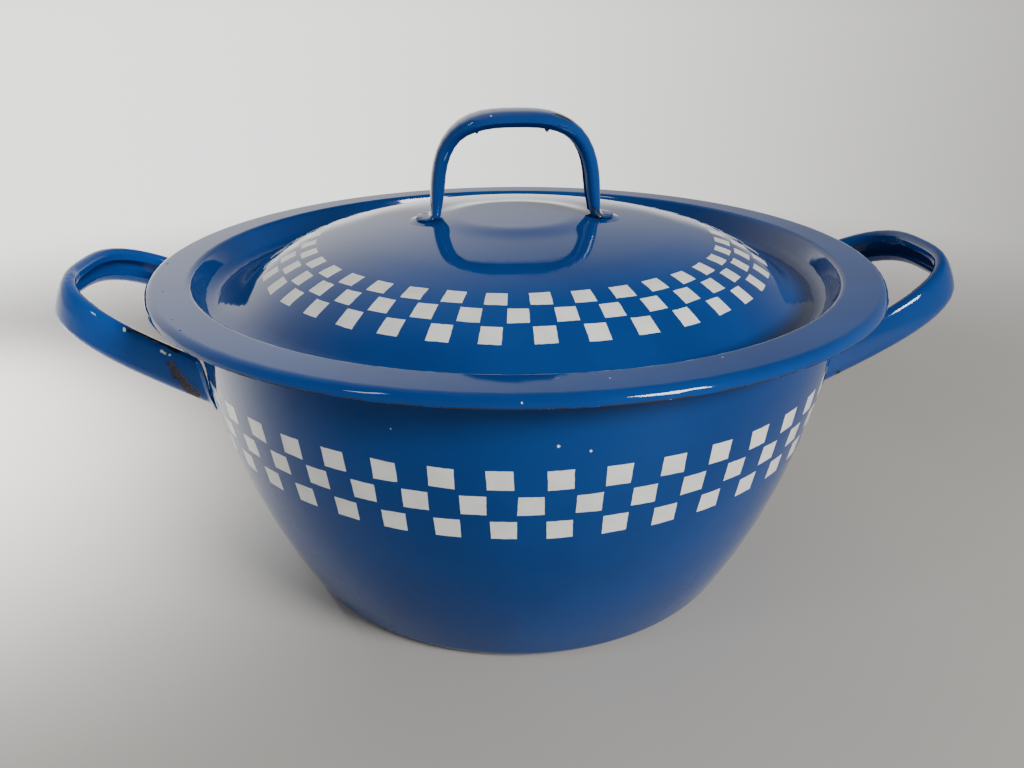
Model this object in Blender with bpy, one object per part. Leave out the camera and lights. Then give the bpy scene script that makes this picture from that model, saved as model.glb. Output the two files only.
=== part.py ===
"""Covered casserole pot in enamelled sheet steel: a drawn bowl with two welded loop handles, and a drawn
lid with a hanging groove, a low dome and a welded bow handle. Metres, +Z up. The origin is the centre of
the base, on the surface that the pot stands on. The two side handles lie along X, and so does the bow."""

import math

import bmesh
import bpy
from mathutils import Vector

MM = 0.001
SHEET = 1.1 * MM  # steel and the enamel on both faces
GAP = 0.3 * MM  # between pieces that touch
TURNED_SEGMENTS = 64
BLUE = (0.012, 0.105, 0.36)
DEEP_BLUE = (0.010, 0.090, 0.32)

# The bowl. Radii are of its outer face.
BASE_RADIUS = 92.5 * MM  # where the wall's line meets the base plane
BASE_CORNER = 8.0 * MM
MOUTH_RADIUS = 122.3 * MM
WALL_BOW = 272.0 * MM  # radius of the wall's bow, seen from the side
RIM_HEIGHT = 120.6 * MM
RIM_CURL = 3.6 * MM  # outer radius of the rolled rim
RIM_WIDTH = 5.2 * MM  # how far the rim stands out from the wall
RIM_TIGHTENING = 0.3 * MM  # by which the curl's radius is less than the bend's

# The lid. Heights are from the top of its flat brim.
BRIM_HEIGHT = RIM_HEIGHT + GAP + SHEET
LID_RADIUS = 136.0 * MM
BRIM_EDGE = 3.2 * MM  # radius of the turned-down edge
GROOVE_RADIUS = 120.2 * MM  # groove's outer wall at the brim
GROOVE_DEPTH = 10.6 * MM
GROOVE_LEAN = math.radians(20)  # of the groove's outer wall, from upright
# The crown, as (radius in mm, fall for each mm outwards): a flat plateau, a soft step and a low dome.
CROWN = (
    (21.5, 0.0),
    (25.0, 0.12),
    (28.5, 0.175),
    (33.0, 0.12),
    (37.0, 0.085),
    (48.0, 0.10),
    (57.0, 0.126),
    (64.5, 0.187),
    (75.0, 0.246),
)
CROWN_EDGE_HEIGHT = 7.2 * MM  # where the crown runs into the shoulder
SHOULDER = 69.0 * MM  # radius of the dome's shoulder, seen from the side
FLANK_SLOPE = math.radians(40)  # where the shoulder runs into the groove
FLANK_STEPS = 5
GROOVE_BEND = 5.5 * MM  # radius between the groove's bottom and its outer wall
BRIM_BEND = 2.2 * MM  # radius between the groove's outer wall and the brim

# Strap handles: a strip rolled to a C section, open on its inner side. Each end is pressed flat and turned
# outwards into a foot, which lies on the bowl or on the lid.
STRAP_SHEET = 1.2 * MM
STRAP_SLOT = 7.2 * MM  # open width between the turned-in lips
FOOT_SHEET = 1.3 * MM
FOOT_LENGTH = 5.5 * MM
FOOT_BEND = 1.5 * MM  # radius of the outer face where a leg turns into its foot

# The side handles: a loop in a plane that rises outwards.
LOOP_STRAP = 14.5 * MM
LOOP_DEPTH = 5.6 * MM
LOOP_HALF_SPAN = 42.7 * MM
LOOP_ROOT = 115.0 * MM  # distance from the pot's axis
LOOP_REACH = 62.5 * MM  # along the loop's plane, from LOOP_ROOT
LOOP_ROOT_HEIGHT = BRIM_HEIGHT - 34.1 * MM
LOOP_START = 9.0 * MM  # along the plane, where the round section is clear of its feet
RIGHT_LOOP_LIFT = 0.5 * MM
LOOP_RISE = math.radians(27.9)
LOOP_SQUARENESS = 2.9  # exponent of its superellipse: 2 is an ellipse

# The bow, over the lid. Heights are from the top of the brim.
BOW_STRAP = 15.0 * MM
BOW_DEPTH = 5.8 * MM
GRIP_STRAP = 24.5 * MM  # the strap is wider and deeper over the middle, where it is held
GRIP_DEPTH = 6.4 * MM
GRIP_EASE = 20.0 * MM  # how far in from a leg the strap has its full width
BOW_FOOT_DEPTH = 4.3 * MM
BOW_SWELL = 9.0 * MM  # height above a foot where the strap has its full depth
BOW_HALF_SPAN = 32.5 * MM
BOW_SPRING = 16.0 * MM  # where the straight legs run into the arch
BOW_HEIGHT = 53.3 * MM
BOW_SQUARENESS = 2.9


def clear_scene():
    for obj in list(bpy.data.objects):
        bpy.data.objects.remove(obj, do_unlink=True)


def enamel(name, colour):
    """A vitreous enamel: a glassy coat of one colour."""
    material = bpy.data.materials.new(name)
    material.use_nodes = True
    shader = material.node_tree.nodes["Principled BSDF"]
    shader.inputs["Base Color"].default_value = (*colour, 1.0)
    shader.inputs["Roughness"].default_value = 0.12
    shader.inputs["Metallic"].default_value = 0.0
    return material


def arc(centre, radius, start, end, steps):
    """Points of an arc, by angle in radians."""
    return [
        (centre[0] + radius * math.cos(a), centre[1] + radius * math.sin(a))
        for a in (start + (end - start) * i / steps for i in range(steps + 1))
    ]


def normals(line):
    """The left-hand normal at each point of an open line."""
    found = []
    for i in range(len(line)):
        a, b = line[max(i - 1, 0)], line[min(i + 1, len(line) - 1)]
        length = math.hypot(b[0] - a[0], b[1] - a[1])
        found.append((-(b[1] - a[1]) / length, (b[0] - a[0]) / length))
    return found


def offset(line, distance):
    """The line moved to its left. An end on the axis stays on the axis."""
    moved = [
        (p[0] + n[0] * distance, p[1] + n[1] * distance)
        for p, n in zip(line, normals(line))
    ]
    return [(0.0, line[0][1] + distance), *moved[1:]]


def mesh_object(name, bm, material):
    bmesh.ops.recalc_face_normals(bm, faces=bm.faces)
    mesh = bpy.data.meshes.new(name)
    bm.to_mesh(mesh)
    bm.free()
    mesh.shade_smooth()
    mesh.set_sharp_from_angle(angle=math.radians(50))
    mesh.materials.append(material)
    obj = bpy.data.objects.new(name, mesh)
    bpy.context.scene.collection.objects.link(obj)
    return obj


def turned(name, outline, material, origin_height=0.0):
    """Turns an outline, which starts and ends on the axis, about Z. The origin is on the axis."""
    bm = bmesh.new()
    count = TURNED_SEGMENTS
    rings = []
    for r, z in outline:
        z -= origin_height
        if r < 1e-6:
            rings.append([bm.verts.new((0, 0, z))] * count)
        else:
            turn = [2 * math.pi * i / count for i in range(count)]
            rings.append(
                [bm.verts.new((r * math.cos(a), r * math.sin(a), z)) for a in turn]
            )
    for near, far in zip(rings, rings[1:]):
        for i in range(count):
            j = (i + 1) % count
            corners = [near[i], near[j], far[j], far[i]]
            bm.faces.new(list(dict.fromkeys(corners)))
    return mesh_object(name, bm, material)


def wall_centre():
    """Centre of the arc that the wall's outer face follows, from the base plane to the rim."""
    low, high = (BASE_RADIUS, 0.0), (MOUTH_RADIUS, RIM_HEIGHT - RIM_CURL)
    dx, dz = high[0] - low[0], high[1] - low[1]
    chord = math.hypot(dx, dz)
    back = math.sqrt(WALL_BOW**2 - (chord / 2) ** 2)
    return (
        (low[0] + high[0]) / 2 - back * dz / chord,
        (low[1] + high[1]) / 2 + back * dx / chord,
    )


def wall_radius(z):
    """Radius of the bowl's outer face at a height, above the base corner and below the rim."""
    centre = wall_centre()
    return centre[0] + math.sqrt(WALL_BOW**2 - (z - centre[1]) ** 2)


def bowl_line():
    """The bowl's outer face, from the centre of the base to the free edge of the rim."""
    centre = wall_centre()
    # The corner's arc touches the base plane and, from inside, the wall's arc.
    corner_z = BASE_CORNER
    reach = math.sqrt((WALL_BOW - BASE_CORNER) ** 2 - (corner_z - centre[1]) ** 2)
    corner = (centre[0] + reach, corner_z)
    touch = math.atan2(corner_z - centre[1], reach)
    line = [(0.0, 0.0), (corner[0] / 2, 0.0)]
    line += arc(corner, BASE_CORNER, -math.pi / 2, touch, 5)
    top = math.asin((RIM_HEIGHT - RIM_CURL - centre[1]) / WALL_BOW)
    line += arc(centre, WALL_BOW, touch, top, 7)[1:]
    # The rim turns outwards over a small radius and then curls down over a tighter one.
    bend = RIM_CURL - SHEET
    start = RIM_HEIGHT - RIM_CURL
    line += arc((MOUTH_RADIUS + bend, start), bend, math.pi, math.pi / 2, 3)[1:]
    curl = bend - RIM_TIGHTENING
    end = (MOUTH_RADIUS + RIM_WIDTH - curl, start + RIM_TIGHTENING)
    line += arc(end, curl, math.pi / 2, -math.pi / 3, 4)
    return line


def pot_body(material):
    outer = bowl_line()
    inner = offset(outer, SHEET)
    return turned("pot_body", outer + inner[::-1], material)


def dome_line():
    """The lid's upper face, from its centre to the foot of the dome's shoulder."""
    line = [(0.0, lid_top(0.0)), (CROWN[0][0] / 2 * MM, lid_top(0.0))]
    for (near, _), (far, _) in zip(CROWN, CROWN[1:]):
        line += [(r * MM, lid_top(r * MM)) for r in (near, (near + far) / 2)]
    start = math.atan(CROWN[-1][1])
    line += [shoulder_point(start + (FLANK_SLOPE - start) * i / 6) for i in range(7)]
    return line


def shoulder_point(angle):
    """Point of the dome's shoulder where the face falls away at this angle."""
    start = math.atan(CROWN[-1][1])
    return (
        CROWN[-1][0] * MM + SHOULDER * (math.sin(angle) - math.sin(start)),
        BRIM_HEIGHT + CROWN_EDGE_HEIGHT - SHOULDER * (math.cos(start) - math.cos(angle)),
    )


def lid_top(r):
    """Height of the lid's upper face on its crown. It adds up the falls from there to the crown's edge."""
    r /= MM
    rise = 0.0
    for (near, slope), (far, fall) in zip(CROWN, CROWN[1:]):
        if r < far:
            start = max(near, r)
            at_start = slope + (fall - slope) * (start - near) / (far - near)
            rise += (at_start + fall) / 2 * (far - start)
    return BRIM_HEIGHT + CROWN_EDGE_HEIGHT + rise * MM


def lid_line():
    """The lid's upper face, from its centre to the free edge of the brim."""
    line = dome_line()
    flank_r, flank_z = line[-1]
    bottom = BRIM_HEIGHT - GROOVE_DEPTH
    # The flank runs out into the groove's bottom over one arc.
    flank_bend = (flank_z - bottom) / (1 - math.cos(FLANK_SLOPE))
    centre = (flank_r + flank_bend * math.sin(FLANK_SLOPE), bottom + flank_bend)
    turn = -math.pi / 2
    line += arc(centre, flank_bend, turn - FLANK_SLOPE, turn, FLANK_STEPS)[1:]
    # The outer wall: an arc out of the bottom, a straight run, and an arc on to the brim.
    rise = math.pi / 2 - GROOVE_LEAN
    foot_r = GROOVE_BEND * math.sin(rise)
    foot_z = bottom + GROOVE_BEND * (1 - math.cos(rise))
    lip_z = BRIM_HEIGHT - BRIM_BEND * (1 - math.cos(rise))
    wall_foot = GROOVE_RADIUS - (lip_z - foot_z) * math.tan(GROOVE_LEAN)
    centre = (wall_foot - foot_r, bottom + GROOVE_BEND)
    line += arc(centre, GROOVE_BEND, turn, turn + rise, 6)
    centre = (GROOVE_RADIUS + BRIM_BEND * math.sin(rise), BRIM_HEIGHT - BRIM_BEND)
    line += arc(centre, BRIM_BEND, math.pi / 2 + rise, math.pi / 2, 4)
    # The flat brim and its turned-down edge.
    edge = (LID_RADIUS - BRIM_EDGE, BRIM_HEIGHT - BRIM_EDGE)
    line += arc(edge, BRIM_EDGE, math.pi / 2, 0.0, 5)
    return line


def lid_shell(material):
    upper = lid_line()
    lower = offset(upper, -SHEET)
    return turned("lid_shell", upper + lower[::-1], material, BRIM_HEIGHT)


def strap_section(depth, width, steps=14):
    """A C section as (depth from the outer face, place across) pairs: outer contour, then inner contour."""
    contours = []
    sheet = min(STRAP_SHEET, depth * 0.33)
    for inset in (0.0, sheet):
        half_depth, half_width = depth / 2 - inset, width / 2 - inset
        # The contour leaves out the slot, on the side away from the outer face.
        slot_angle = math.asin(min(0.95, (STRAP_SLOT / 2 / half_width) ** 1.4))
        contour = []
        for i in range(steps + 1):
            a = slot_angle + (2 * math.pi - 2 * slot_angle) * i / steps
            x, y = squircle(a, half_depth, half_width, 2.8)
            contour.append((depth / 2 + x, y))
        contours.append(contour)
    return contours


def squircle(a, half_x, half_y, squareness):
    """Point of a superellipse. At equal steps of a, its points crowd towards the tight bends."""
    c, s = math.cos(a), math.sin(a)
    power = 2 / squareness
    return (
        math.copysign(abs(c) ** power, c) * half_x,
        math.copysign(abs(s) ** power, s) * half_y,
    )


def arch(half_span, height, squareness, steps):
    """Half a superellipse from (-half_span, 0) over (0, height) to (half_span, 0), at equal polar angles."""
    points = []
    for i in range(1, steps):
        a = math.pi * (1 - i / steps)
        x, y = math.cos(a) / half_span, math.sin(a) / height
        size = (abs(x) ** squareness + abs(y) ** squareness) ** (-1 / squareness)
        points.append((math.cos(a) * size, math.sin(a) * size))
    return points


def foot_bend(depth, width, steps=5):
    """The bend from a foot into its leg, as rings of (along the foot's face, off that face, across)
    points. The foot runs in from negative values and the leg stands on 0, its outer face at 0."""
    rings = []
    for share in (1.0, 0.8, 0.4):
        # The foot is a rounded tongue.
        along, narrow = -FOOT_LENGTH * share, math.sqrt(1 - (0.93 * share) ** 2)
        section = strap_section(FOOT_SHEET, width * narrow)
        rings.append([[(along, FOOT_SHEET - d, q) for d, q in row] for row in section])
    for i in range(steps + 1):
        a = math.pi / 2 * i / steps
        flush = (FOOT_BEND + FOOT_SHEET) / max(math.cos(a), 1e-6) - FOOT_BEND
        section = strap_section(min(flush, depth), width)
        rings.append([[around_bend(a, d, q) for d, q in row] for row in section])
    return rings


def around_bend(a, depth, across):
    """Point of a bend's ring, at angle a from the foot, with its depth from the outer face."""
    along = (FOOT_BEND + depth) * math.sin(a) - FOOT_BEND
    off = FOOT_SHEET + FOOT_BEND - (FOOT_BEND + depth) * math.cos(a)
    return along, off, across


def swept(line):
    """Rings of (x, y, across) points of a C section swept along a line of (x, y, depth, width) stations."""
    flat = [station[:2] for station in line]
    return [
        [
            [(x - n[0] * d, y - n[1] * d, q) for d, q in contour]
            for contour in strap_section(depth, width)
        ]
        for (x, y, depth, width), n in zip(line, normals(flat))
    ]


def placed(rings, place):
    return [[[place(*p) for p in row] for row in ring] for ring in rings]


def mirrored(rings, x, y):
    """The rings of the other end, in the order that goes on from this end."""
    return placed(rings[::-1], lambda *p: Vector((p[0] * x, p[1] * y, p[2])))


def strap(name, rings, material):
    """Joins the rings of a C section, each an outer and an inner contour of positions, into one solid."""
    bm = bmesh.new()
    rings = [[[bm.verts.new(p) for p in row] for row in ring] for ring in rings]
    steps = len(rings[0][0]) - 1
    for near, far in zip(rings, rings[1:]):
        for a, b in zip(near, far):
            for i in range(steps):
                bm.faces.new([a[i], a[i + 1], b[i + 1], b[i]])
        for i in (0, steps):
            bm.faces.new([near[0][i], near[1][i], far[1][i], far[0][i]])
    for outer, inner in (rings[0], rings[-1]):
        for i in range(steps):
            bm.faces.new([outer[i], outer[i + 1], inner[i + 1], inner[i]])
    return mesh_object(name, bm, material)


def side_handle(name, side, lift, material):
    """One loop handle. side is 1 for +X and -1 for -X. Its plan is drawn with X outwards. The handles are
    welded on by hand, and one of them sits higher by its lift."""

    def height(x, across):
        """A point of the tilted strap that stands at x in plan, at its place across the strap."""
        return (
            LOOP_ROOT_HEIGHT
            + lift
            + (x - LOOP_ROOT) * math.tan(LOOP_RISE)
            + across / math.cos(LOOP_RISE)
        )

    def on_wall(along, off, across):
        """A foot's point: along runs round the wall towards the leg, and off stands off the wall."""
        y = -LOOP_HALF_SPAN + along
        x = LOOP_ROOT
        for _ in range(8):
            x = math.sqrt(wall_radius(height(x, across)) ** 2 - y * y)
        clear = 1 + GAP / math.hypot(x, y)
        x = x * clear + off
        return Vector((x, y * clear, height(x, across)))

    def in_loop(sideways, along, across):
        x = LOOP_ROOT + along * math.cos(LOOP_RISE) - across * math.sin(LOOP_RISE)
        return Vector((x, sideways, height(x, across)))

    foot = placed(foot_bend(LOOP_DEPTH, LOOP_STRAP), on_wall)
    line = [(-LOOP_HALF_SPAN, LOOP_START, LOOP_DEPTH, LOOP_STRAP)]
    for sideways, along in arch(LOOP_HALF_SPAN, LOOP_REACH, LOOP_SQUARENESS, 36):
        if along > LOOP_START + 3 * MM:
            line.append((sideways, along, LOOP_DEPTH, LOOP_STRAP))
    line.append((LOOP_HALF_SPAN, LOOP_START, LOOP_DEPTH, LOOP_STRAP))
    loop = placed(swept(line), in_loop)
    rings = foot + loop + mirrored(foot, 1, -1)
    rings = placed(rings, lambda *p: Vector((p[0] * side, p[1] * side, p[2])))
    return strap(name, rings, material)


def lid_handle(material):
    """The bow. Its heights are from the top of the brim."""

    def on_lid(along, off, across):
        x = along - BOW_HALF_SPAN
        lid = lid_top(math.hypot(x, across)) - BRIM_HEIGHT
        return Vector((x, across, lid + GAP + off))

    foot = placed(foot_bend(BOW_FOOT_DEPTH, BOW_STRAP), on_lid)
    foot_top = FOOT_SHEET + FOOT_BEND + lid_top(BOW_HALF_SPAN) - BRIM_HEIGHT
    line = []
    for x, z in arch(BOW_HALF_SPAN, BOW_HEIGHT - BOW_SPRING, BOW_SQUARENESS, 28):
        z += BOW_SPRING
        swell = min(1.0, (z - foot_top) / BOW_SWELL)
        depth = BOW_FOOT_DEPTH + (BOW_DEPTH - BOW_FOOT_DEPTH) * swell
        share = min(1.0, (BOW_HALF_SPAN - abs(x)) / GRIP_EASE)
        grip = share * share * (3 - 2 * share)
        depth += (GRIP_DEPTH - BOW_DEPTH) * grip
        line.append((x, z, depth, BOW_STRAP + (GRIP_STRAP - BOW_STRAP) * grip))
    bow = placed(swept(line), lambda x, z, across: Vector((x, across, z)))
    return strap("lid_handle", foot + bow + mirrored(foot, -1, 1), material)


def main():
    clear_scene()
    pot_body(enamel("pot_enamel", BLUE))
    side_handle("handle_left", -1, 0.0, enamel("left_handle_enamel", DEEP_BLUE))
    side_handle(
        "handle_right", 1, RIGHT_LOOP_LIFT, enamel("right_handle_enamel", DEEP_BLUE)
    )
    lift_axis = bpy.data.objects.new("lid_lift_axis", None)
    bpy.context.scene.collection.objects.link(lift_axis)
    lift_axis.location.z = BRIM_HEIGHT
    lid_shell(enamel("lid_enamel", BLUE)).parent = lift_axis
    lid_handle(enamel("lid_handle_enamel", DEEP_BLUE)).parent = lift_axis


main()
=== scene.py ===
"""Looks of a covered casserole pot in blue vitreous enamel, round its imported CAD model. Metres, +Z up.

The five CAD nodes stay. The turned ones are rounded between their facets, and all get worn enamel. The new
pieces are the two bands of white checks, which are thin glass transfers fused on to the blue, and the enamel at
the welds and under the bow."""

import math
import random

import bmesh
import bpy
from mathutils import Matrix, Vector
from mathutils.bvhtree import BVHTree


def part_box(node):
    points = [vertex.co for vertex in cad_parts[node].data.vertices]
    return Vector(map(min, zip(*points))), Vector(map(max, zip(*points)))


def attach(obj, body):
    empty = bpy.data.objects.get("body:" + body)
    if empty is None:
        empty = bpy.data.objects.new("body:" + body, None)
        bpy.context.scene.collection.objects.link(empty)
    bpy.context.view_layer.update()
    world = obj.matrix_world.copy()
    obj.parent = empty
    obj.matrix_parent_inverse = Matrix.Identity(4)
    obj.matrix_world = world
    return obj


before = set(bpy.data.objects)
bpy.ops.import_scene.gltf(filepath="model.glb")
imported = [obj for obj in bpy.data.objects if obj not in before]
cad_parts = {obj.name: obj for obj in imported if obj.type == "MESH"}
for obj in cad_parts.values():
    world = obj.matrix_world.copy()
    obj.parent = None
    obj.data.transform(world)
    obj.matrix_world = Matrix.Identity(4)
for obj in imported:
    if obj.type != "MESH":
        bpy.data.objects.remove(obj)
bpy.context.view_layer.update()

MM = 0.001

# The CAD model, which the new pieces follow.
SHEET = 1.1 * MM
GAP = 0.3 * MM  # between pieces that touch
TURNED = ("pot_body", "lid_shell")
TURNED_SEGMENTS = 64  # facets round the bowl and the lid
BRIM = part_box("pot_body")[1].z + GAP + SHEET  # height of the lid's flat brim
LID_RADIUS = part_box("lid_shell")[1].x
MOUTH_RADIUS = 122.3 * MM
BOWL_CENTRE = 70 * MM  # a height on the axis, inside the bowl
BOW_FOOT = 35.2 * MM  # middle of the bow's feet, from the axis
# The middle of the side handles' feet: along Y, up, and round the axis from the handle's middle. The wall is a
# little narrower there than the mouth.
LOOP_FOOT, LOOP_FOOT_HEIGHT = 45.6 * MM, BRIM - 37.8 * MM
LOOP_FOOT_TURN = math.asin(LOOP_FOOT / MOUTH_RADIUS) * 1.04
OUTSIDE, OVERHEAD = 200 * MM, BRIM + 40 * MM  # clear of the pot's wall, and of the lid's dome
MERGE_DISTANCE = 0.005 * MM
SHARP_ANGLE = math.radians(50)  # an edge that turns further than this stays sharp

# The mound of enamel over a foot: half its length and width, its height, how deep its edge sinks, the power
# that rounds it off, and its facets round and outwards.
POOL_SIZE = (6.4 * MM, 10.2 * MM)
POOL_HEIGHT, POOL_SINK, POOL_POWER = 0.8 * MM, 0.05 * MM, 1.4
POOL_SIDES, POOL_RINGS = 40, 10
BOW_DRIPS = ((-14.4, -8.6, 168.6), (11.0, -8.8, 168.9))  # in mm
DRIP_RADIUS, DRIP_WIDENING, DRIP_DRAW = 0.8 * MM, 1.3, 0.5

# The check bands. A row is (place, turn in degrees of its first check from the front): the place is a height
# below the brim on the pot, and a radius on the lid. A check is (width, height).
POT_ROWS = ((32.9 * MM, 1.73), (41.8 * MM, -2.10), (51.2 * MM, -5.97))
POT_PITCH, POT_COUNT = 8.0, 45
POT_CHECK = (7.6 * MM, 6.95 * MM)
POT_SLOPE = 0.97  # how far the wall rises for its own length, at the band
LID_ROWS = ((79.0 * MM, 1.31), (86.3 * MM, 5.99), (93.3 * MM, 10.73))
LID_PITCH, LID_COUNT = 9.585, 37
LID_CHECK = (6.75 * MM, 5.7 * MM)
TRANSFER = 0.06 * MM  # how far a transfer stands proud
CHECK_CELLS = 6  # facets along a check's side
POT_SLIP = (0.05, 0.08 * MM)
LID_SLIP = (0.06, 0.07 * MM)
CUT_TILT, CUT_CORNER, CUT_EDGE = 0.7, 0.11 * MM, 0.035 * MM

BLUE = (0.0015, 0.050, 0.235)
DEEP_BLUE = (0.001, 0.040, 0.195)
POT_PAINTED_SHADE, LEFT_PAINTED_LIGHT = 0.92, 1.6  # the bowl's blue is darkened as painted shade, to take back what the fill light adds; the left handle's is lightened as painted light, for light the lamps don't give it
POT_IOR, LID_IOR = 1.30, 1.49  # the bowl's gloss is the weaker one
WHITE = (0.84, 0.85, 0.83)
DULL_WHITE = (0.74, 0.76, 0.73)
PALE = (0.74, 0.76, 0.75)  # the light enamel inside
GROUND = (0.012, 0.012, 0.014)  # the black ground coat, where the blue has chipped
RUST = (0.115, 0.076, 0.048)
# The enamel's relief, as (width, depth): its long waves, and its orange peel on the blue and on the checks.
WAVES = (45 * MM, 0.12 * MM)
BLUE_PEEL, WHITE_PEEL = (2.6 * MM, 0.0008 * MM), (2.0 * MM, 0.003 * MM)
CHIP_DEPTH = 0.12 * MM
# Roughness: the blue's, what smears and scuffs add to it, bare or rusty metal's, and the checks' with what
# smears add to it.
GLOSSY, SMEARED, SCUFFED, BARE = 0.055, 0.10, 0.25, 0.62
PRINT_GLOSSY, PRINT_SMEARED = 0.14, 0.12

# The surroundings' light, as radiance by direction: a wall behind and to the left, the rest of the room, and
# the ceiling. Heights here are sines of the elevation.
WALL_AZIMUTH, WALL_LIGHT, WALL_SPREAD = -150, 1.25, 3.5
WALL_LEVEL, WALL_FALL = 1.25, 1.15  # the wall's share is the level less the fall times the height, up to 1
WALL_FOOT, WALL_FOOT_TOP = 0.72, 0.45  # its share at the horizon, and the height where that ends
ROOM_LIGHT, CEILING_LIGHT = 0.2, 0.07
ROOM_FADE = (0.75, 0.2)  # heights between which the room's light comes in, downwards
BACKDROP_LIGHT, BACKDROP_GLOW = 0.3, 1.8  # behind the floor: its least, and what the wall's side adds
BACKDROP_TOP = 0.12
ROOM_TINT, WARM, COOL = (1.0, 0.985, 0.96), (1.0, 0.98, 0.95), (0.96, 0.98, 1.0)
# The windows: azimuth from the front towards +X and elevation in degrees, width and height, radiance, tint.
RIGHT_WINDOW = (40, 30, (0.42, 0.32), 42.0, WARM)
LEFT_FILL = (-50, 18, (0.60, 0.50), 1.6, COOL)
LEFT_WINDOW = (-52, 42, (0.10, 0.34), 11.0, COOL)
WINDOW_DISTANCE, WINDOW_AIM = 1.25, 0.1  # from the point on the axis that it faces, and that point's height
# The sunlit patch: where its lamp is, where it shines, its power, beam and size.
SUN_PLACE, SUN_AIM = (-1.0, 0.75, 0.85), (-0.33, 0.09, 0)
SUN_POWER, SUN_BEAM, SUN_SIZE = 560, math.radians(15), 0.05

FLOOR_SIZE = 6.0
FLOOR_TONES = (0.42, 0.41, 0.385), (0.475, 0.46, 0.435)
FLOOR_ROUGHNESS = 0.55
FLOOR_FADE = (0.28, 0.75)  # distances from the pot between which the floor fades into the backdrop

# The camera, from the pot's axis, and how far the pot stands turned from it. Its lens and sensor are in mm.
CAMERA_DISTANCE, CAMERA_HEIGHT = 309.28 * MM, 204.31 * MM
CAMERA_PITCH, CAMERA_YAW, CAMERA_ROLL = 0.42580, -0.00495, -0.00473
CAMERA_LENS, CAMERA_SENSOR = 28.125, 36
CAMERA_NEAR = 10 * MM
POT_TURN = math.radians(-4.2)


class Tree:
    """A node tree, with short calls for adding to it."""

    def __init__(self, tree):
        self.tree = tree

    def node(self, kind):
        return self.tree.nodes.new(kind)

    def feed(self, socket, value):
        """Links another node's output to a socket, or sets the socket's value. A colour gets its alpha."""
        if isinstance(value, bpy.types.NodeSocket):
            self.tree.links.new(value, socket)
        elif isinstance(value, tuple) and len(socket.default_value) == 4:
            socket.default_value = (*value, 1.0)
        else:
            socket.default_value = value

    def maths(self, operation, a, b=0.0):
        node = self.node("ShaderNodeMath")
        node.operation = operation
        self.feed(node.inputs[0], a)
        self.feed(node.inputs[1], b)
        return node.outputs[0]

    def total(self, found, *others):
        for value in others:
            found = self.maths("ADD", found, value)
        return found

    def product(self, found, *others):
        for value in others:
            found = self.maths("MULTIPLY", found, value)
        return found

    def parts(self, vector):
        """A vector's x, y and z."""
        split = self.node("ShaderNodeSeparateXYZ")
        self.feed(split.inputs[0], vector)
        return split.outputs


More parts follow.
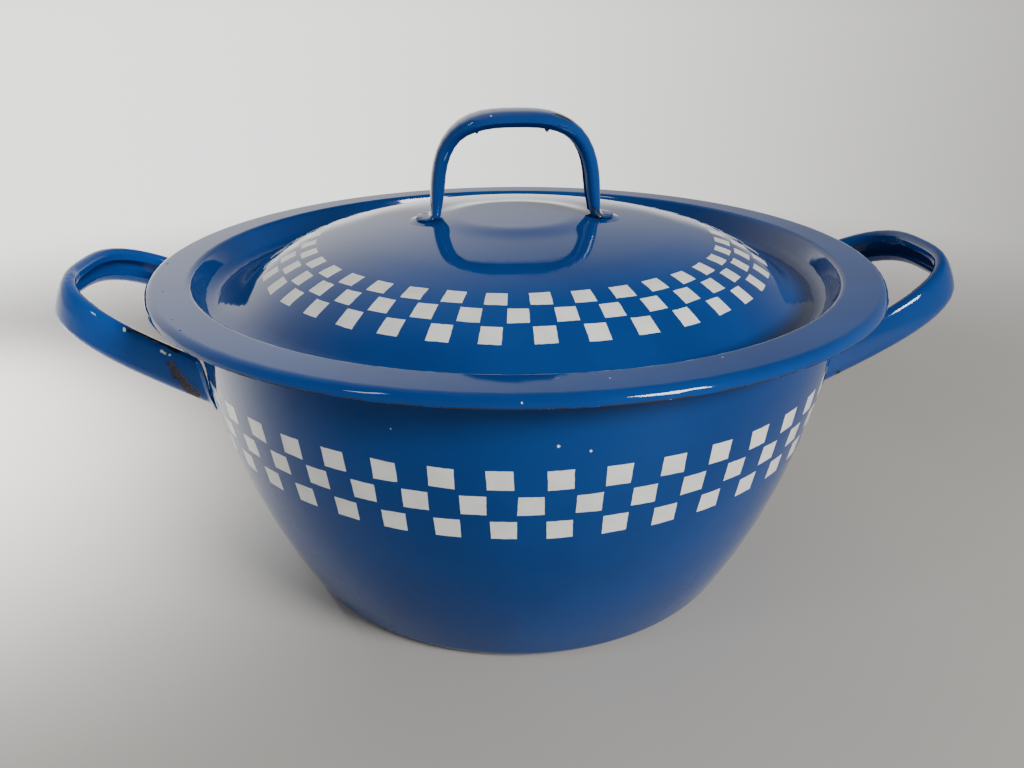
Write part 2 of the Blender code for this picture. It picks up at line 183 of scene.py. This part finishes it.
class Pattern(Tree):
    """A shader's tree, with short calls for patterns that lie on one set of texture coordinates."""

    def __init__(self, tree, coordinates):
        super().__init__(tree)
        self.place = self.node("ShaderNodeTexCoord").outputs[coordinates]
        self.x, self.y, self.z = self.parts(self.place)
        across = (self.maths("POWER", way, 2.0) for way in (self.x, self.y))
        self.radius = self.maths("SQRT", self.total(*across))

    def step(self, value, low, high):
        """Rises smoothly from 0 at low to 1 at high. With low above high it falls."""
        node = self.node("ShaderNodeMapRange")
        node.interpolation_type = "SMOOTHSTEP"
        self.feed(node.inputs["Value"], value)
        node.inputs["From Min"].default_value = min(low, high)
        node.inputs["From Max"].default_value = max(low, high)
        node.inputs["To Min"].default_value = 0.0 if low < high else 1.0
        node.inputs["To Max"].default_value = 1.0 if low < high else 0.0
        return node.outputs["Result"]

    def noise(self, size, detail=2.0, roughness=0.5, stretch=(1, 1, 1)):
        """A noise around 0.5 whose features are about size metres wide."""
        mapping = self.node("ShaderNodeMapping")
        self.feed(mapping.inputs["Vector"], self.place)
        mapping.inputs["Scale"].default_value = stretch
        node = self.node("ShaderNodeTexNoise")
        self.feed(node.inputs["Vector"], mapping.outputs[0])
        node.inputs["Scale"].default_value = 1 / size
        node.inputs["Detail"].default_value = detail
        node.inputs["Roughness"].default_value = roughness
        return node.outputs["Fac"]

    def specks(self, spacing, size, share):
        """1 inside small round specks: a share of the cells, spacing wide, holds one."""
        node = self.node("ShaderNodeTexVoronoi")
        self.feed(node.inputs["Vector"], self.place)
        node.inputs["Scale"].default_value = 1 / spacing
        near = self.step(node.outputs["Distance"], size / spacing, 0.4 * size / spacing)
        colour = self.node("ShaderNodeSeparateColor")
        self.feed(colour.inputs[0], node.outputs["Color"])
        return self.product(near, self.step(colour.outputs[0], share, share * 0.9))

    def mix(self, share, a, b):
        """A colour between a and b."""
        node = self.node("ShaderNodeMix")
        node.data_type = "RGBA"
        self.feed(node.inputs["Factor"], share)
        self.feed(node.inputs["A"], a)
        self.feed(node.inputs["B"], b)
        return node.outputs["Result"]

    def blend(self, share, a, b):
        """A value between a and b."""
        node = self.node("ShaderNodeMix")
        self.feed(node.inputs["Factor"], share)
        self.feed(node.inputs["A"], a)
        self.feed(node.inputs["B"], b)
        return node.outputs["Result"]

    def most(self, values):
        found = 0.0
        for value in values:
            found = self.maths("MAXIMUM", value, found)
        return found

    def vector(self, operation, a, b=None):
        """One step of vector maths. b is a vector too, but SCALE takes a number and LENGTH takes none."""
        node = self.node("ShaderNodeVectorMath")
        node.operation = operation
        self.feed(node.inputs[0], a)
        if operation == "SCALE":
            self.feed(node.inputs["Scale"], b)
        elif b is not None:
            self.feed(node.inputs[1], b)
        return node.outputs["Value" if operation in ("DOT_PRODUCT", "LENGTH") else "Vector"]

    def mark(self, start, end, size, ragged, core):
        """1 inside a ragged streak from start to end, all in mm, size wide on either side."""
        start, along = Vector(start) * MM, (Vector(end) - Vector(start)) * MM
        way = self.vector("SUBTRACT", self.place, start)
        if along.length > 0:
            share = self.vector("DOT_PRODUCT", way, along / along.length_squared)
            share = self.maths("MINIMUM", self.maths("MAXIMUM", share, 0.0), 1.0)
            back = self.vector("SCALE", along, share)
            way = self.vector("SUBTRACT", way, back)
        distance = self.vector("LENGTH", way)
        edge = self.product(self.maths("SUBTRACT", ragged, 0.5), size * 2.6 * MM)
        return self.step(self.total(distance, edge), size * MM, size * core * MM)

    def marks(self, places, grow=1.0, core=0.55):
        """1 inside any of the marks, each (place, size) or (start, end, size). core is the share of a mark's
        size up to which it is whole."""
        ragged = self.noise(1.9 * MM, detail=4, roughness=0.6)
        return self.most([self.mark(m[0], m[-2], m[-1] * grow, ragged, core) for m in places])


class Shader(Pattern):
    """A material on one Principled shader, whose patterns lie on the object's own coordinates."""

    def __init__(self, name):
        self.material = bpy.data.materials.new(name)
        self.material.use_nodes = True
        super().__init__(self.material.node_tree, "Object")
        self.bsdf = self.tree.nodes["Principled BSDF"]

    def facing(self):
        """How far the surface faces up, and how far it faces away from the axis."""
        x, y, up = self.parts(self.node("ShaderNodeNewGeometry").outputs["Normal"])
        outward = self.total(self.product(self.x, x), self.product(self.y, y))
        return up, self.maths("DIVIDE", outward, self.maths("MAXIMUM", self.radius, MM))

    def bump(self, layers):
        """Chains bumps, each a (height socket, depth in metres)."""
        normal = None
        for height, depth in layers:
            node = self.node("ShaderNodeBump")
            node.inputs["Distance"].default_value = abs(depth)
            node.invert = depth < 0
            self.feed(node.inputs["Height"], height)
            if normal is not None:
                self.feed(node.inputs["Normal"], normal)
            normal = node.outputs["Normal"]
        self.feed(self.bsdf.inputs["Normal"], normal)


def blue_glass(s, shade):
    """The blue, in faint clouds of a deeper one."""
    # shade scales the blue: below 1 it is painted shade, above 1 painted light.
    deep, blue = (tuple(part * shade for part in colour) for colour in (DEEP_BLUE, BLUE))
    clouds = s.step(s.noise(60 * MM, detail=3), 0.36, 0.64)
    mottle = s.step(s.noise(2.2 * MM, detail=2), 0.45, 0.75)
    return s.mix(s.product(mottle, 0.16), s.mix(clouds, deep, blue), blue)


def pale_glass(s):
    """The light enamel of the inside, with a pepper of dark specks."""
    clouds = s.step(s.noise(35 * MM, detail=4), 0.35, 0.7)
    pepper = s.specks(5 * MM, 0.22 * MM, 0.5)
    return s.mix(s.product(pepper, 0.8), s.mix(clouds, PALE, WHITE), GROUND)


def wear_colour(s, colour, bare, rusty, stain):
    """The colour with its black or rusty ground where it is bare, and rust in a dark stain."""
    grain = s.noise(0.7 * MM, detail=4)
    colour = s.mix(s.product(stain, 0.6), colour, GROUND)
    colour = s.mix(bare, colour, s.mix(s.step(grain, 0.56, 0.80), GROUND, RUST))
    rusted = s.mix(s.step(grain, 0.30, 0.66), GROUND, RUST)
    return s.mix(s.product(rusty, 0.85), colour, rusted)


def enamel(name, shade=1.0, ior=LID_IOR, pale=None, raw=None, chips=(), rust=(), flecks=(), scuffs=()):
    """Blue vitreous enamel: a deep glass with a faint orange peel, pin holes and fine wear. Each list holds
    marks: chips down to the black ground coat, rust, white flecks and dull scuffs. pale is where the surface
    has the light enamel of the inside, and raw is where an edge has lost its enamel."""
    s = Shader(name)
    pin_holes = s.specks(17 * MM, 0.28 * MM, 0.22)
    dust = s.specks(23 * MM, 0.30 * MM, 0.20)
    white = s.most([s.product(dust, 0.8), s.marks(flecks)])
    bare = s.marks(chips)
    if raw is not None:
        bare = s.most([bare, raw(s)])
    rusty = s.marks(rust)
    worn = s.most([bare, rusty])
    dull = s.product(s.marks(scuffs, core=0.1), 0.6)

    colour = blue_glass(s, shade)
    if pale is not None:
        colour = s.mix(pale(s), colour, pale_glass(s))
    colour = s.mix(s.product(pin_holes, 0.85), colour, GROUND)
    colour = s.mix(white, colour, WHITE)
    colour = wear_colour(s, colour, bare, rusty, s.marks(rust, grow=2.0, core=0.1))
    s.feed(s.bsdf.inputs["Base Color"], s.mix(s.product(dull, 0.3), colour, PALE))

    smear = s.step(s.noise(26 * MM, detail=5, roughness=0.62, stretch=(1, 1, 2.2)), 0.45, 0.8)
    gloss = s.total(s.product(smear, SMEARED), GLOSSY, s.product(dull, SCUFFED))
    s.feed(s.bsdf.inputs["Roughness"], s.blend(worn, gloss, BARE))
    s.bsdf.inputs["IOR"].default_value = ior
    waves, peel = (s.noise(width, detail=0) for width in (WAVES[0], BLUE_PEEL[0]))
    pits = s.most([worn, s.product(pin_holes, 0.5)])
    s.bump([(waves, WAVES[1]), (peel, BLUE_PEEL[1]), (pits, -CHIP_DEPTH)])
    return s.material


def white_glass():
    """The checks: an off-white glass print, a little uneven and a little less glossy than the blue."""
    s = Shader("white_glass")
    colour = s.mix(s.step(s.noise(9 * MM, detail=4), 0.35, 0.7), WHITE, DULL_WHITE)
    pepper = s.specks(6 * MM, 0.25 * MM, 0.35)
    s.feed(s.bsdf.inputs["Base Color"], s.mix(s.product(pepper, 0.6), colour, DEEP_BLUE))
    smear = s.step(s.noise(20 * MM, detail=4), 0.4, 0.8)
    s.feed(s.bsdf.inputs["Roughness"], s.total(s.product(smear, PRINT_SMEARED), PRINT_GLOSSY))
    s.bsdf.inputs["IOR"].default_value = LID_IOR
    s.bump([(s.noise(WAVES[0], detail=0), WAVES[1]), (s.noise(WHITE_PEEL[0]), WHITE_PEEL[1])])
    return s.material


def pot_inside(s):
    """The pot's light inside, up to the bend of the rim: its faces look towards the middle of the bowl."""
    up, outward = s.facing()
    away = s.total(s.product(outward, s.radius), s.product(up, s.maths("SUBTRACT", s.z, BOWL_CENTRE)))
    below_rim = s.step(s.radius, MOUTH_RADIUS - 0.3 * MM, MOUTH_RADIUS - 0.6 * MM)
    return s.product(s.step(away, 4 * MM, -4 * MM), below_rim)


def lid_underside(s):
    """The lid's light underside. The turned-down edge's outer face still counts as the top."""
    up, outward = s.facing()
    at_edge = s.step(s.radius, LID_RADIUS - 8 * MM, LID_RADIUS - 6 * MM)
    return s.step(s.total(up, s.product(outward, at_edge)), 0.05, -0.05)


def brim_edge(s):
    """The brim's lower edge, bare in patches."""
    low = s.step(s.z, BRIM - 2.75 * MM, BRIM - 3.05 * MM)
    out = s.step(s.radius, LID_RADIUS - 1.6 * MM, LID_RADIUS - 1.2 * MM)
    patches = s.step(s.noise(7 * MM, detail=5, roughness=0.65), 0.40, 0.48)
    return s.product(low, out, patches)


# Each CAD node has its own enamel. The marks are places on the object in mm, each with its size in mm.


def pot_enamel():
    return enamel(
        "pot_enamel_worn",
        # The bowl's blue is darkened: painted shade against the fill light.
        shade=POT_PAINTED_SHADE,
        ior=POT_IOR,
        pale=pot_inside,
        flecks=[((2.7, -121.2, 100.5), 0.5), ((11.6, -120.5, 98.2), 0.6)],
        chips=[((-70, -56, 3), 1.6), ((40, 75, 6), 2.0), ((85, -35, 8), 1.2)],
    )


def lid_enamel():
    return enamel(
        "lid_enamel_worn",
        pale=lid_underside,
        raw=brim_edge,
        flecks=[((14.7, -125.7, 122), 0.35), ((-8.4, -135.1, 120.4), 0.4)],
        chips=[
            ((-131.5, -8.5, 122), 0.7),
            ((-121.8, -43.5, 122), 0.5),
            ((-120.4, -62.7, 119.6), 1.3),
            ((-110, -72.2, 122), 0.5),
            ((-104.7, -82, 122), 0.6),
            ((-28.2, 18.0, 133.5), 1.4),
        ],
        scuffs=[((-36, -4, 135.2), 3.0), ((37, -4, 135.2), 3.0)],
    )


def left_handle_enamel():
    return enamel(
        "left_handle_enamel_worn",
        # The left handle's blue is lightened: painted light where the lamps leave it dark.
        shade=LEFT_PAINTED_LIGHT,
        chips=[
            ((-137.5, -39.6, 107.4), (-130.0, -39.6, 104.2), 0.7),
            ((-130.0, -39.6, 104.2), (-121.5, -40.8, 99.8), 1.1),
        ],
        rust=[
            ((-124.0, -42.6, 95.6), (-122.6, -42.6, 90.6), 1.3),
            ((-122.6, -42.6, 90.6), (-117.8, -42.1, 83.2), 1.9),
        ],
        flecks=[
            ((-126.8, -41.9, 100.0), (-125.8, -41.9, 99.4), 0.7),
            ((-124.1, -41.9, 98.6), 0.5),
            ((-138.9, -39.6, 108.8), (-138.5, -39.8, 107.2), 0.55),
        ],
        scuffs=[((-165, -20, 119.5), 4.5), ((-163, -14, 121), 4.0)],
    )


def right_handle_enamel():
    return enamel(
        "right_handle_enamel_worn",
        chips=[((118.5, -42.0, 83.5), 1.4), ((164, 18, 122), 1.1)],
        rust=[((118.2, 42.4, 84.5), 2.0)],
        scuffs=[((166, 10, 118), 5.0)],
    )


def bow_enamel():
    return enamel(
        "bow_enamel_worn",
        chips=[
            ((15.2, -7.4, 173.3), (18.4, -7.4, 172.2), 2.1),
            ((31.2, -6.6, 137.2), 1.6),
            ((-31.0, -6.8, 136.6), 0.9),
            ((-41.0, -3, 135.6), (-36.0, -3, 136.0), 0.8),
            ((37.0, -4, 135.8), (43.0, -5, 135.0), 0.7),
        ],
        rust=[((29.6, -7.0, 138.8), 1.1), ((-34.6, 4.0, 136.0), 1.4), ((34.8, -4.8, 136.0), 1.4)],
        flecks=[((-9.3, -10.7, 173.7), 0.4), ((31.6, -7.3, 136.4), 0.7)],
    )


def finish_group(name, turned):
    """Geometry nodes that join a CAD node's facets, round them where the node is turned, and shade them
    smooth up to its sharp edges."""
    group = Tree(bpy.data.node_groups.new(name, "GeometryNodeTree"))
    for way in ("INPUT", "OUTPUT"):
        group.tree.interface.new_socket("Geometry", in_out=way, socket_type="NodeSocketGeometry")
    merge = group.node("GeometryNodeMergeByDistance")
    merge.inputs["Distance"].default_value = MERGE_DISTANCE
    group.feed(merge.inputs["Geometry"], group.node("NodeGroupInput").outputs[0])
    shape = merge.outputs[0]
    if turned:
        shape = rounded(group, shape)
    group.feed(group.node("NodeGroupOutput").inputs[0], smoothed(group, shape))
    return group.tree


def rounded(group, shape):
    """Divides a turned shape's facets once, and moves the new corners out to the circle through the old."""
    halve = group.node("GeometryNodeSubdivideMesh")
    halve.inputs["Level"].default_value = 1
    group.feed(halve.inputs[0], shape)
    x, y, z = group.parts(group.node("GeometryNodeInputPosition").outputs[0])
    # A facet's middle is nearer the axis than its corners, by the cosine of half its turn.
    half_turn = math.pi / TURNED_SEGMENTS
    turn = group.maths("FLOORED_MODULO", group.maths("ARCTAN2", y, x), 2 * half_turn)
    off_middle = group.maths("COSINE", group.maths("SUBTRACT", turn, half_turn))
    stretch = group.maths("DIVIDE", off_middle, math.cos(half_turn))
    join = group.node("ShaderNodeCombineXYZ")
    for socket, value in zip(join.inputs, (group.product(x, stretch), group.product(y, stretch), z)):
        group.feed(socket, value)
    move = group.node("GeometryNodeSetPosition")
    group.feed(move.inputs["Geometry"], halve.outputs[0])
    group.feed(move.inputs["Position"], join.outputs[0])
    return move.outputs[0]


def smoothed(group, shape):
    """Shades a shape smooth up to its sharp edges."""
    sharp = group.node("FunctionNodeCompare")
    sharp.operation = "GREATER_THAN"
    group.feed(sharp.inputs[0], group.node("GeometryNodeInputMeshEdgeAngle").outputs["Unsigned Angle"])
    group.feed(sharp.inputs[1], SHARP_ANGLE)
    normals = group.node("GeometryNodeSetMeshNormal")
    normals.mode = "SHARPNESS"
    normals.inputs["Remove Custom"].default_value = True
    normals.inputs["Face Sharpness"].default_value = False
    group.feed(normals.inputs[0], shape)
    group.feed(normals.inputs["Edge Sharpness"], sharp.outputs[0])
    return normals.outputs[0]


def dress(looks):
    """Gives each CAD node its material and its finish. On the turned ones, flat faces rule the shading."""
    finishes = {True: finish_group("turned_finish", True), False: finish_group("swept_finish", False)}
    for node, material in looks.items():
        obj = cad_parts[node]
        obj.data.materials.clear()
        obj.data.materials.append(material)
        obj.modifiers.new("finish", "NODES").node_group = finishes[node in TURNED]
        if node in TURNED:
            obj.modifiers.new("true_flats", "WEIGHTED_NORMAL").keep_sharp = True


def surface(node):
    """The finished surface of a CAD node, to cast rays at."""
    bpy.context.view_layer.update()
    return BVHTree.FromObject(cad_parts[node], bpy.context.evaluated_depsgraph_get())


def pot_point(wall, turn, height):
    """Point and outward normal of the pot's wall. turn is an angle from the front, towards +X."""
    out = Vector((math.sin(turn), -math.cos(turn), 0))
    point, normal = wall.ray_cast(out * OUTSIDE + Vector((0, 0, height)), -out)[:2]
    return point, normal


def sheet_above(top, x, y):
    """Point and normal of the lid's top at a place in plan."""
    point, normal = top.ray_cast(Vector((x, y, OVERHEAD)), Vector((0, 0, -1)))[:2]
    return point, normal


def lid_point(top, turn, radius):
    """Point and upward normal of the lid's top. turn is as for the pot."""
    return sheet_above(top, math.sin(turn) * radius, -math.cos(turn) * radius)


def new_piece(name, bm, body, material):
    """Makes an object of the mesh in bm, which rides on a body."""
    mesh = bpy.data.meshes.new(name)
    bmesh.ops.recalc_face_normals(bm, faces=bm.faces)
    bm.to_mesh(mesh)
    bm.free()
    mesh.shade_smooth()
    mesh.set_sharp_from_angle(angle=SHARP_ANGLE)
    mesh.materials.append(material)
    obj = bpy.data.objects.new(name, mesh)
    bpy.context.scene.collection.objects.link(obj)
    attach(obj, body)


def check(bm, point_at, turn, place, along, size, rng):
    """One check, cut by hand: no corner and no edge is quite true. along is how far place goes for a length
    up the check: less than 1 on a slope, and below 0 where place runs down."""
    width, height = size
    radius = point_at(turn, place)[0].xy.length
    slant = math.tan(math.radians(rng.gauss(0, CUT_TILT)))
    corners = [
        (x * width / 2 + rng.gauss(0, CUT_CORNER), y * height / 2 + rng.gauss(0, CUT_CORNER))
        for x, y in ((-1, -1), (1, -1), (1, 1), (-1, 1))
    ]
    top, under = [], []
    for j in range(CHECK_CELLS + 1):
        for i in range(CHECK_CELLS + 1):
            u, v = between(corners, i / CHECK_CELLS, j / CHECK_CELLS)
            if i in (0, CHECK_CELLS) or j in (0, CHECK_CELLS):
                u += rng.gauss(0, CUT_EDGE)
                v += rng.gauss(0, CUT_EDGE)
            u, v = u - v * slant, v + u * slant
            point, normal = point_at(turn + u / radius, place + along * v)
            top.append(bm.verts.new(point + normal * TRANSFER))
            under.append(bm.verts.new(point - normal * TRANSFER))
    close_check(bm, top, under)


def between(corners, s, t):
    """A place between four corners, at shares of the way across and up."""
    low = [a + (b - a) * s for a, b in zip(corners[0], corners[1])]
    high = [a + (b - a) * s for a, b in zip(corners[3], corners[2])]
    return [a + (b - a) * t for a, b in zip(low, high)]


def close_check(bm, top, under):
    """Faces over a check's top and under vertices, and round its edge."""
    cells, side = CHECK_CELLS, CHECK_CELLS + 1
    for j in range(cells):
        for i in range(cells):
            a = j * side + i
            ring = (a, a + 1, a + side + 1, a + side)
            bm.faces.new([top[k] for k in ring])
            bm.faces.new([under[k] for k in reversed(ring)])
    border = list(range(cells))
    border += [cells + side * k for k in range(cells)]
    border += [side * side - 1 - k for k in range(cells)]
    border += [side * (cells - k) for k in range(cells)]
    for a, b in zip(border, border[1:] + border[:1]):
        bm.faces.new([top[b], top[a], under[a], under[b]])


def check_bands(glass):
    """The bands on the pot and on the lid. Each lid row starts at the front and meets itself at the back."""
    rng = random.Random(24)
    wall, top = surface("pot_body"), surface("lid_shell")
    bm = bmesh.new()
    for drop, first in POT_ROWS:
        for i in range(POT_COUNT):
            turn = math.radians(first + POT_PITCH * i + rng.gauss(0, POT_SLIP[0]))
            height = BRIM - drop + rng.gauss(0, POT_SLIP[1])
            check(bm, lambda a, p: pot_point(wall, a, p), turn, height, POT_SLOPE, POT_CHECK, rng)
    new_piece("pot_checks", bm, "pot", glass)
    bm = bmesh.new()
    for radius, first in LID_ROWS:
        for i in range(LID_COUNT):
            turn = math.radians(first + LID_PITCH * (i - LID_COUNT // 2) + rng.gauss(0, LID_SLIP[0]))
            place = radius + rng.gauss(0, LID_SLIP[1])
            check(bm, lambda a, p: lid_point(top, a, p), turn, place, -1.0, LID_CHECK, rng)
    new_piece("lid_checks", bm, "lid", glass)


def pool(bm, surface_at):
    """A mound of enamel over a welded foot, flush with the sheet round it. surface_at(u, v) is a point of
    the sheet and its normal, u along the foot and v across it."""
    half_length, half_width = POOL_SIZE

    def vertex(rho, turn, lift):
        u, v = rho * half_length * math.cos(turn), rho * half_width * math.sin(turn)
        point, normal = surface_at(u, v)
        return bm.verts.new(point + normal * lift)

    turns = [2 * math.pi * i / POOL_SIDES for i in range(POOL_SIDES)]
    shares = [k / POOL_RINGS for k in range(1, POOL_RINGS + 1)]
    lifts = [POOL_HEIGHT * (1 - r * r) ** POOL_POWER - POOL_SINK for r in shares]
    tops = [[vertex(r, a, lift) for a in turns] for r, lift in zip(shares, lifts)]
    tip, under = vertex(0, 0, POOL_HEIGHT - POOL_SINK), vertex(0, 0, -4 * POOL_SINK)
    for i in range(POOL_SIDES):
        j = (i + 1) % POOL_SIDES
        bm.faces.new([tip, tops[0][i], tops[0][j]])
        bm.faces.new([under, tops[-1][j], tops[-1][i]])
        for near, far in zip(tops, tops[1:]):
            bm.faces.new([near[i], far[i], far[j], near[j]])


def drip(bm, place):
    """A bead of enamel that ran together under the bow and set there: wide above, drawn out downwards."""
    found = bmesh.ops.create_uvsphere(bm, u_segments=16, v_segments=10, radius=DRIP_RADIUS)
    for vert in found["verts"]:
        hang = max(0.0, -vert.co.z / DRIP_RADIUS)
        vert.co.x *= DRIP_WIDENING * (1 - hang) + hang
        vert.co.z *= 1 + DRIP_DRAW * hang
        vert.co += place


def bow_feet_enamel(material):
    """The mounds over the bow's feet, and the drips under the bow."""
    top = surface("lid_shell")
    bm = bmesh.new()
    for side in (-1, 1):
        pool(bm, lambda u, v, x=side * BOW_FOOT: sheet_above(top, x + u, v))
    for place in BOW_DRIPS:
        drip(bm, Vector(place) * MM)
    new_piece("bow_feet_enamel", bm, "lid", material)


def loop_feet_enamel(name, side, material):
    """The mounds over a side handle's feet."""
    wall = surface("pot_body")
    bm = bmesh.new()
    for end in (-1, 1):
        middle = math.pi / 2 * side + end * LOOP_FOOT_TURN

        def surface_at(u, v):
            return pot_point(wall, middle + u / MOUTH_RADIUS, LOOP_FOOT_HEIGHT + v)

        pool(bm, surface_at)
    new_piece(name, bm, "pot", material)


def lay_floor():
    """A plain pale floor, which far out fades into the surround."""
    bpy.ops.mesh.primitive_plane_add(size=FLOOR_SIZE)
    floor = bpy.context.object
    floor.name = "floor"
    s = Shader("floor_pale")
    s.feed(s.bsdf.inputs["Base Color"], s.mix(s.noise(120 * MM, detail=3), *FLOOR_TONES))
    s.bsdf.inputs["Roughness"].default_value = FLOOR_ROUGHNESS
    mix = s.node("ShaderNodeMixShader")
    s.feed(mix.inputs[0], s.step(s.radius, *FLOOR_FADE))
    s.feed(mix.inputs[1], s.bsdf.outputs[0])
    s.feed(mix.inputs[2], s.node("ShaderNodeBsdfTransparent").outputs[0])
    s.feed(s.tree.nodes["Material Output"].inputs["Surface"], mix.outputs[0])
    floor.data.materials.append(s.material)


def surround():
    """A dim room with a pale wall that is brightest behind the pot, on the left, and a dark ceiling. Below
    the horizon, and just above it, is the backdrop that the floor fades into."""
    world = bpy.data.worlds.new("surround")
    bpy.context.scene.world = world
    world.use_nodes = True
    s = Pattern(world.node_tree, "Generated")
    wall = math.radians(WALL_AZIMUTH)
    facing = s.total(s.product(s.x, math.sin(wall)), s.product(s.y, -math.cos(wall)))
    facing = s.maths("DIVIDE", facing, s.maths("MAXIMUM", s.radius, 0.01))
    facing = s.maths("POWER", s.maths("MAXIMUM", facing, 0.0), WALL_SPREAD)
    share = s.maths("SUBTRACT", WALL_LEVEL, s.product(s.z, WALL_FALL))
    share = s.maths("MINIMUM", s.maths("MAXIMUM", share, 0.0), 1.0)
    share = s.product(share, s.blend(s.step(s.z, 0.0, WALL_FOOT_TOP), WALL_FOOT, 1.0))
    room = s.product(s.step(s.z, *ROOM_FADE), ROOM_LIGHT)
    light = s.total(s.product(facing, share, WALL_LIGHT), room, CEILING_LIGHT)
    glow = s.total(s.product(s.maths("POWER", facing, 0.5), BACKDROP_GLOW), BACKDROP_LIGHT)
    background = s.tree.nodes["Background"]
    s.feed(background.inputs["Color"], ROOM_TINT)
    s.feed(background.inputs["Strength"], s.blend(s.step(s.z, BACKDROP_TOP, 0.0), light, glow))


def window(name, azimuth, elevation, size, radiance, tint):
    """A soft rectangular light, a window's size, that faces the pot."""
    azimuth, elevation = math.radians(azimuth), math.radians(elevation)
    across = math.cos(elevation)
    way = Vector((math.sin(azimuth) * across, -math.cos(azimuth) * across, math.sin(elevation)))
    light = bpy.data.lights.new(name, "AREA")
    light.shape = "RECTANGLE"
    light.size, light.size_y = size
    light.energy = radiance * math.pi * size[0] * size[1]
    light.color = tint
    obj = bpy.data.objects.new(name, light)
    bpy.context.scene.collection.objects.link(obj)
    obj.location = way * WINDOW_DISTANCE + Vector((0, 0, WINDOW_AIM))
    obj.rotation_euler = way.to_track_quat("Z", "Y").to_euler()
    return obj


def sunlit_patch():
    """A patch of light on the floor, behind the pot on the left, which the bowl's side reflects."""
    sun = bpy.data.lights.new("sunlit_patch", "SPOT")
    sun.energy = SUN_POWER
    sun.spot_size = SUN_BEAM
    sun.spot_blend = 1.0
    sun.shadow_soft_size = SUN_SIZE
    obj = bpy.data.objects.new("sunlit_patch", sun)
    bpy.context.scene.collection.objects.link(obj)
    obj.location = SUN_PLACE
    obj.visible_glossy = False
    way = Vector(SUN_AIM) - obj.location
    obj.rotation_euler = way.to_track_quat("-Z", "Y").to_euler()


def studio():
    """The floor, the surround, and the lights: a window on either side, a fill that no gloss shows, and a
    sunlit patch."""
    lay_floor()
    surround()
    window("right_window", *RIGHT_WINDOW)
    window("left_fill", *LEFT_FILL).visible_glossy = False
    window("left_window", *LEFT_WINDOW)
    sunlit_patch()


def camera():
    """The camera, on a level tripod in front of the pot, which stands turned by a few degrees."""
    data = bpy.data.cameras.new("camera")
    data.sensor_width = CAMERA_SENSOR
    data.lens = CAMERA_LENS
    data.clip_start = CAMERA_NEAR
    obj = bpy.data.objects.new("camera", data)
    bpy.context.scene.collection.objects.link(obj)
    bpy.context.scene.camera = obj
    level = Matrix.Rotation(CAMERA_ROLL, 3, "Z")
    tilt = Matrix.Rotation(math.pi / 2 - CAMERA_PITCH, 3, "X")
    aim = Matrix.Rotation(-CAMERA_YAW, 3, "Z")
    pose = (aim @ tilt @ level).to_4x4()
    pose.translation = Vector((0, -CAMERA_DISTANCE, CAMERA_HEIGHT))
    obj.matrix_world = Matrix.Rotation(POT_TURN, 4, "Z") @ pose


def main():
    looks = {
        "pot_body": pot_enamel(),
        "lid_shell": lid_enamel(),
        "handle_left": left_handle_enamel(),
        "handle_right": right_handle_enamel(),
        "lid_handle": bow_enamel(),
    }
    dress(looks)
    check_bands(white_glass())
    bow_feet_enamel(looks["lid_handle"])
    loop_feet_enamel("feet_left_enamel", -1, looks["handle_left"])
    loop_feet_enamel("feet_right_enamel", 1, looks["handle_right"])
    studio()
    camera()


main()
